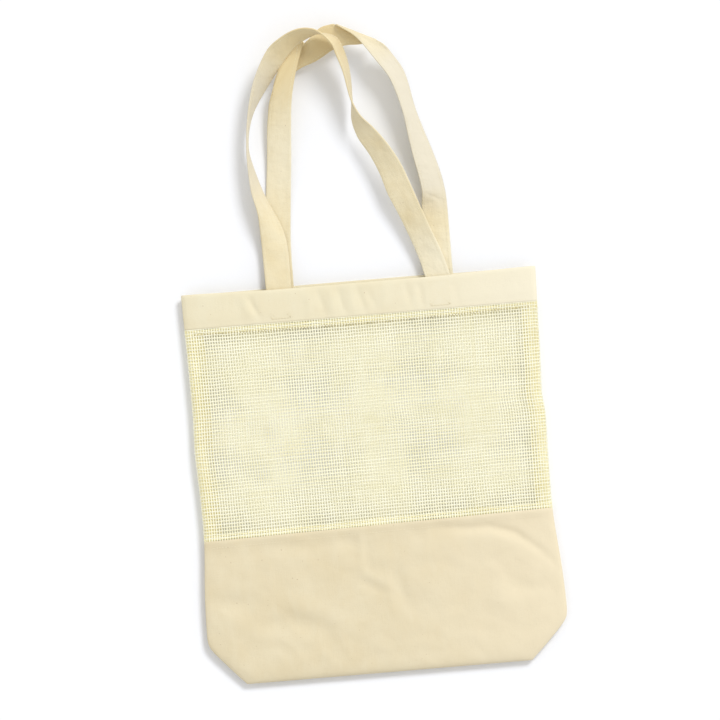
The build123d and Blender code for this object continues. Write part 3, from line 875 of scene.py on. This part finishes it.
class Finish:
    """A material that is being built, with short ways to add nodes to it."""

    def __init__(self, name):
        self.material = bpy.data.materials.new(name)
        self.material.use_nodes = True
        self.tree = self.material.node_tree
        self.tree.nodes.clear()
        self.shader = self.node("ShaderNodeBsdfPrincipled")
        self.node("ShaderNodeOutputMaterial", {"Surface": self.shader.outputs["BSDF"]})

    def feed(self, made, inputs):
        """Sets a node's inputs, or links them where the value is another node's output."""
        for key, value in inputs.items():
            socket = made.inputs[key]
            if isinstance(value, bpy.types.NodeSocket):
                self.tree.links.new(value, socket)
            elif socket.type == "RGBA":
                socket.default_value = (*value, 1)
            else:
                socket.default_value = value

    def node(self, kind, inputs=None, **settings):
        made = self.tree.nodes.new(kind)
        for key, value in settings.items():
            setattr(made, key, value)
        self.feed(made, inputs or {})
        return made

    def flat_cloth(self):
        """Places on the cloth as it is when laid flat, in metres."""
        return self.node("ShaderNodeUVMap", uv_map="cloth").outputs["UV"]

    def wave(self, vector, direction, pitch):
        """A sine wave across the cloth, one crest for each thread."""
        inputs = {"Scale": WAVE_LENGTH / pitch, "Vector": vector}
        made = self.node("ShaderNodeTexWave", inputs, bands_direction=direction)
        return made.outputs["Fac"]

    def noise(self, vector, scale, detail, stretch=(1, 1, 1)):
        mapping = self.node("ShaderNodeMapping", {"Scale": stretch, "Vector": vector})
        inputs = {"Scale": scale, "Detail": detail, "Vector": mapping.outputs["Vector"]}
        return self.node("ShaderNodeTexNoise", inputs).outputs["Fac"]

    def math(self, operation, first, second):
        made = self.node("ShaderNodeMath", {0: first, 1: second}, operation=operation)
        return made.outputs[0]

    def tint(self, first, second, amount):
        """Goes from the first colour to the second as amount goes from 0 to 1."""
        inputs = {"Factor": amount, "A": first, "B": second}
        return self.node("ShaderNodeMix", inputs, data_type="RGBA").outputs["Result"]

    def ramp(self, value, low, high):
        """0 where the value is low, 1 where it is high."""
        inputs = {"From Min": low, "From Max": high, "Value": value}
        return self.node("ShaderNodeMapRange", inputs).outputs["Result"]

    def bump(self, strength, depth, height, under=None):
        """Relief on the surface. under is another bump's output, which this one adds to."""
        inputs = {"Strength": strength, "Distance": depth, "Height": height}
        if under is not None:
            inputs["Normal"] = under
        return self.node("ShaderNodeBump", inputs).outputs["Normal"]


def canvas_material(name, light, dark, pitch=0.0007, crumple=0.35, zones=(), lit_right=None):
    """Unbleached plain-weave cotton: weave, slubs, soft mottling and dark seed flecks.
    zones are stretches of a strap with painted light and shade: start, end, colour, amount.
    The last argument is a lighter colour painted on a panel towards its right side: painted light,
    where the light falls stronger."""
    finish = Finish(name)
    cloth = finish.flat_cloth()
    warp = finish.wave(cloth, "X", pitch)
    weft = finish.wave(cloth, "Y", pitch * 1.1)
    threads = finish.math("MULTIPLY", warp, weft)
    slubs_across = finish.noise(cloth, 60, 3, (1, 16, 1))
    slubs_along = finish.noise(cloth, 60, 3, (16, 1, 1))
    slubs = finish.math("ADD", slubs_across, slubs_along)
    mottle = finish.noise(cloth, 22, 4)
    flecks = finish.ramp(finish.noise(cloth, 420, 1), 0.765, 0.80)
    streaks = finish.noise(cloth, 55, 4, (1.6, 0.45, 1))
    colour = finish.tint(light, dark, finish.ramp(mottle, 0.35, 0.75))
    colour = finish.tint(colour, dark, finish.ramp(slubs, 1.02, 1.5))
    colour = finish.tint(colour, light, finish.ramp(streaks, 0.50, 0.78))
    # Painted shade: the gaps between the threads are painted darker.
    painted_gap_shade = tuple(0.93 * c for c in dark)
    colour = finish.tint(painted_gap_shade, colour, finish.ramp(threads, -0.5, 0.5))
    colour = finish.tint(colour, SEED_FLECK, flecks)
    place = finish.node("ShaderNodeSeparateXYZ", {"Vector": cloth}).outputs
    blur = 0.02  # how far a zone's ends are spread
    # Stretches of painted light and shade along the straps.
    for start, end, zone_colour, amount in zones:
        rise = finish.ramp(place["Y"], start - blur, start + blur)
        fall = finish.ramp(place["Y"], end + blur, end - blur)
        share = finish.math("MULTIPLY", finish.math("MULTIPLY", rise, fall), amount)
        colour = finish.tint(colour, zone_colour, share)
    # Painted light: the panel is painted lighter towards its right side, where the light falls
    # stronger.
    if lit_right:
        share = finish.math("MULTIPLY", finish.ramp(place["X"], 0.0, 0.17), 0.85)
        colour = finish.tint(colour, lit_right, share)
    rough = finish.math("MULTIPLY", finish.ramp(slubs, 0.4, 1.6), 0.14)
    weave = finish.bump(0.55, 0.00016, finish.math("ADD", threads, slubs))
    finish.feed(finish.shader, {
        "Base Color": colour,
        "Roughness": finish.math("ADD", rough, 0.80),
        "Sheen Weight": 0.25,
        "Sheen Roughness": 0.5,
        "Specular IOR Level": 0.25,
        "Normal": finish.bump(crumple, 0.0014, finish.noise(cloth, 75, 3), weave),
    })
    return finish.material


def yarn_material(name, light, dark, sheen=0.3, glow=0.0):
    """Soft cotton yarn with a twist along it and uneven colour. glow is painted light: the
    yarn glows in its light colour, standing for the light that passes through thin loose yarn."""
    finish = Finish(name)
    place = finish.node("ShaderNodeTexCoord").outputs["Object"]
    patches = finish.noise(place, 45, 3)
    speckle = finish.noise(place, 900, 2)
    up_threads = finish.noise(place, 330, 1, (1, 0.03, 1))
    cross_threads = finish.noise(place, 330, 1, (0.03, 1, 1))
    twist = finish.wave(finish.flat_cloth(), "DIAGONAL", 0.0006)
    colour = finish.tint(light, dark, finish.ramp(patches, 0.35, 0.7))
    colour = finish.tint(colour, dark, finish.ramp(speckle, 0.5, 0.9))
    colour = finish.tint(colour, dark, finish.ramp(up_threads, 0.48, 0.80))
    colour = finish.tint(colour, light, finish.ramp(cross_threads, 0.45, 0.75))
    rough = finish.math("MULTIPLY", speckle, 0.15)
    finish.feed(finish.shader, {
        "Base Color": colour,
        "Roughness": finish.math("ADD", rough, 0.76),
        "Sheen Weight": sheen,
        "Sheen Roughness": 0.45,
        "Specular IOR Level": 0.25,
        # Painted light: the yarn glows a little in its own light colour.
        "Emission Color": light,
        "Emission Strength": glow,
        "Normal": finish.bump(0.6, 0.00012, twist),
    })
    return finish.material


canvas = canvas_material("canvas", CANVAS_LIGHT, CANVAS_DARK, lit_right=CANVAS_LIT_RIGHT)
band_canvas = canvas_material("band_canvas", BAND_LIGHT, BAND_DARK, lit_right=BAND_LIT_RIGHT)
front_strap_canvas = canvas_material(
    "front_strap_canvas", STRAP_LIGHT, STRAP_DARK, pitch=0.0008, crumple=1.0,
    zones=FRONT_STRAP_LIGHT_AND_SHADE,
)
back_strap_canvas = canvas_material(
    "back_strap_canvas", STRAP_LIGHT, STRAP_DARK, pitch=0.0008, crumple=1.0,
    zones=BACK_STRAP_LIGHT_AND_SHADE,
)
net_yarn = yarn_material("net_yarn", NET_LIGHT, NET_DARK, glow=0.16)
# Painted light: yellower yarn for the doubled net, for light bounced between its layers.
bounce_tinted_yarn = yarn_material("bounce_tinted_yarn", TURNED_BOUNCE_TINT_LIGHT, TURNED_BOUNCE_TINT_DARK, glow=0.12)
painted_hole_shade = yarn_material("painted_hole_shade", HOLE_SHADE_LIGHT, HOLE_SHADE_DARK)
sewing_thread = yarn_material("sewing_thread", BAND_LIGHT, BAND_DARK, sheen=0.4)


def dress(piece, material, slot, *nodes):
    """Gives a piece its material and hides the CAD nodes that it stands for; slot is not used."""
    piece.data.materials.append(material)
    if nodes:
        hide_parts(*nodes)


def sew(stitches, node):
    dress(stitches, sewing_thread, "thread", node)


def on_walls(piece):
    """Bakes the piece's transform into its mesh."""
    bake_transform(piece)


def on_side_seam(piece):
    """Bakes the piece's transform into its mesh."""
    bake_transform(piece)


# ---- build the bag ----
front_lower = lower_canvas("front_lower_canvas", front_surface, seam_lift=0.15)
dress(front_lower, canvas, "canvas", "front_lower_panel")
back_lower = lower_canvas("back_lower_canvas", back_surface, seam_lift=0.1)
dress(back_lower, canvas, "canvas", "back_lower_panel")

front_net, front_turnings = net_wall(
    "front_net", front_surface, seed=30, turning=-0.35, extra=0, fullness=1.0
)
dress(front_net, net_yarn, "net", "front_mesh_panel")
dress(front_turnings, bounce_tinted_yarn, "net")
back_net, back_turnings = net_wall(
    "back_net", back_surface, seed=50, turning=0.35, extra=3, fullness=1.38
)
dress(back_net, net_yarn, "net", "back_mesh_panel")
dress(back_turnings, bounce_tinted_yarn, "net")

front_band = band("front_hem", front_surface, front_mouth, lift=0.1)
dress(front_band, band_canvas, "canvas", "front_band")
back_band = band("back_hem", back_surface, back_mouth, lift=0.15)
dress(back_band, band_canvas, "canvas", "back_band")

left_strip = side_strip("side_net_left", -1, width=17.0)
dress(left_strip, bounce_tinted_yarn, "net", "left_side_seam")
right_strip = side_strip("side_net_right", 1, width=14.0)
dress(right_strip, bounce_tinted_yarn, "net", "right_side_seam")

base = base_canvas()
dress(base, canvas, "canvas", "base_panel")
gussets = []
for side, word in ((-1, "left"), (1, "right")):
    gusset = gusset_canvas(f"gusset_canvas_{word}", side)
    dress(gusset, canvas, "canvas", f"{word}_gusset_fold")
    strip = base_seam_strip(f"base_seam_{word}", side)
    dress(strip, canvas, "canvas", f"{word}_base_seam")
    gussets += [gusset, strip]

hem_rows = [level(BAND_LOW + 2.6), level(BAND_LOW + 8.2)]
seam_rows = [beside_seam(-2.4), beside_seam(-7.4)]
front_hem_stitches = wall_stitches("front_hem_stitches", front_surface, hem_rows, lift=0.55)
sew(front_hem_stitches, "front_hem_stitching")
back_hem_stitches = wall_stitches("back_hem_stitches", back_surface, hem_rows, lift=0.75)
sew(back_hem_stitches, "back_hem_stitching")
front_seam_stitches = wall_stitches("front_seam_stitches", front_surface, seam_rows, lift=0.40)
sew(front_seam_stitches, "front_mesh_seam_stitching")
# Painted shade: short dark dashes along the row of holes at the turned net's edge, standing for the
# shade seen through them.
net_edge_painted_shade = wall_stitches(
    "net_edge_painted_shade", front_surface, [net_edge], lift=0.50, length=0.95, gap=2.30, thread=2.3
)
dress(net_edge_painted_shade, painted_hole_shade, "thread")
back_seam_stitches = wall_stitches("back_seam_stitches", back_surface, seam_rows, lift=0.6)
sew(back_seam_stitches, "back_mesh_seam_stitching")

front_box_stitches = box_stitches(
    "front_box_stitches", front_surface, end_centres(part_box("front_handle_ends")), MOUTH, lift=0.95
)
sew(front_box_stitches, "front_handle_box_stitching")
back_box_stitches = box_stitches(
    "back_box_stitches", back_surface, end_centres(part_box("back_handle_ends")), BACK_MOUTH, lift=2.7
)
sew(back_box_stitches, "back_handle_box_stitching")

front_lines = strap_lines(FRONT_STRAP, MOUTH, tuck_z=10.4)
back_lines = strap_lines(BACK_STRAP, BACK_MOUTH, tuck_z=2.5)
front_strap = strap("front_strap", front_lines, FRONT_STRAP_FOLDS, seed=60)
dress(front_strap, front_strap_canvas, "strap_canvas", "front_handle")
back_strap = strap("back_strap", back_lines, BACK_STRAP_FOLDS, seed=70)
dress(back_strap, back_strap_canvas, "strap_canvas", "back_handle")
front_strap_stitches = strap_stitches("front_strap_stitches", front_lines)
sew(front_strap_stitches, "front_handle_edge_stitching")
back_strap_stitches = strap_stitches("back_strap_stitches", back_lines)
sew(back_strap_stitches, "back_handle_edge_stitching")
front_ends = strap_ends("front_strap_ends", front_lines)
dress(front_ends, front_strap_canvas, "strap_canvas", "front_handle_ends")
back_ends = strap_ends("back_strap_ends", back_lines)
dress(back_ends, back_strap_canvas, "strap_canvas", "back_handle_ends")

walls = [
    front_lower, back_lower, front_net, front_turnings, back_net, back_turnings,
    front_band, back_band, base, *gussets,
    net_edge_painted_shade, front_hem_stitches, back_hem_stitches,
    front_seam_stitches, back_seam_stitches,
]
for piece in walls:
    on_walls(piece)
for piece in (left_strip, right_strip):
    on_side_seam(piece)
for piece in (front_ends, front_box_stitches):
    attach(piece, "front")
for piece in (back_ends, back_box_stitches):
    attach(piece, "back")
for piece in (front_strap, front_strap_stitches):
    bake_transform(piece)
for piece in (back_strap, back_strap_stitches):
    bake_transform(piece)

# ---- stage, light and camera ----
FLOOR_SIZE = 8.0
FLOOR_COLOUR = (0.90, 0.91, 0.935)
bpy.ops.mesh.primitive_plane_add(size=FLOOR_SIZE, location=(0, 0, 0))
floor = bpy.context.object
floor.name = "floor"
floor_finish = Finish("floor_white")
floor_finish.feed(
    floor_finish.shader,
    {"Base Color": FLOOR_COLOUR, "Roughness": 0.9, "Specular IOR Level": 0.0},
)
floor.data.materials.append(floor_finish.material)

TILT = math.radians(-4.83)  # the bag lies turned a little in the view
VIEW_CENTRE = (-5.2 * MM, BOTTOM_Y + 334.5 * MM, 0.006)
VIEW_WIDTH = 0.7704
CAMERA_HEIGHT = 9.0
SENSOR = 36.0
camera_data = bpy.data.cameras.new("camera")
camera_data.sensor_width = SENSOR
camera_data.lens = SENSOR * CAMERA_HEIGHT / VIEW_WIDTH
camera_data.dof.use_dof = False
camera = added("camera", camera_data)
camera.location = (VIEW_CENTRE[0], VIEW_CENTRE[1], VIEW_CENTRE[2] + CAMERA_HEIGHT)
camera.rotation_euler = (0, 0, TILT)
bpy.context.scene.camera = camera

LIGHT_FROM = Vector((0.61, 0.79, 1.0)).normalized()
KEY_STRENGTH = 1.65
KEY_ANGLE = math.radians(20)  # a wide light, for soft shadows
SKY_STRENGTH = 0.77
key_data = bpy.data.lights.new("key", "SUN")
key_data.energy = KEY_STRENGTH
key_data.angle = KEY_ANGLE
key_data.color = (0.98, 0.99, 1.02)
key = added("key", key_data)
key.rotation_euler = LIGHT_FROM.to_track_quat("Z", "Y").to_euler()

world = bpy.data.worlds.new("studio")
world.use_nodes = True
background = world.node_tree.nodes["Background"]
background.inputs["Color"].default_value = (1.0, 0.995, 0.985, 1)
background.inputs["Strength"].default_value = SKY_STRENGTH
bpy.context.scene.world = world
bpy.context.scene.view_settings.view_transform = "Standard"
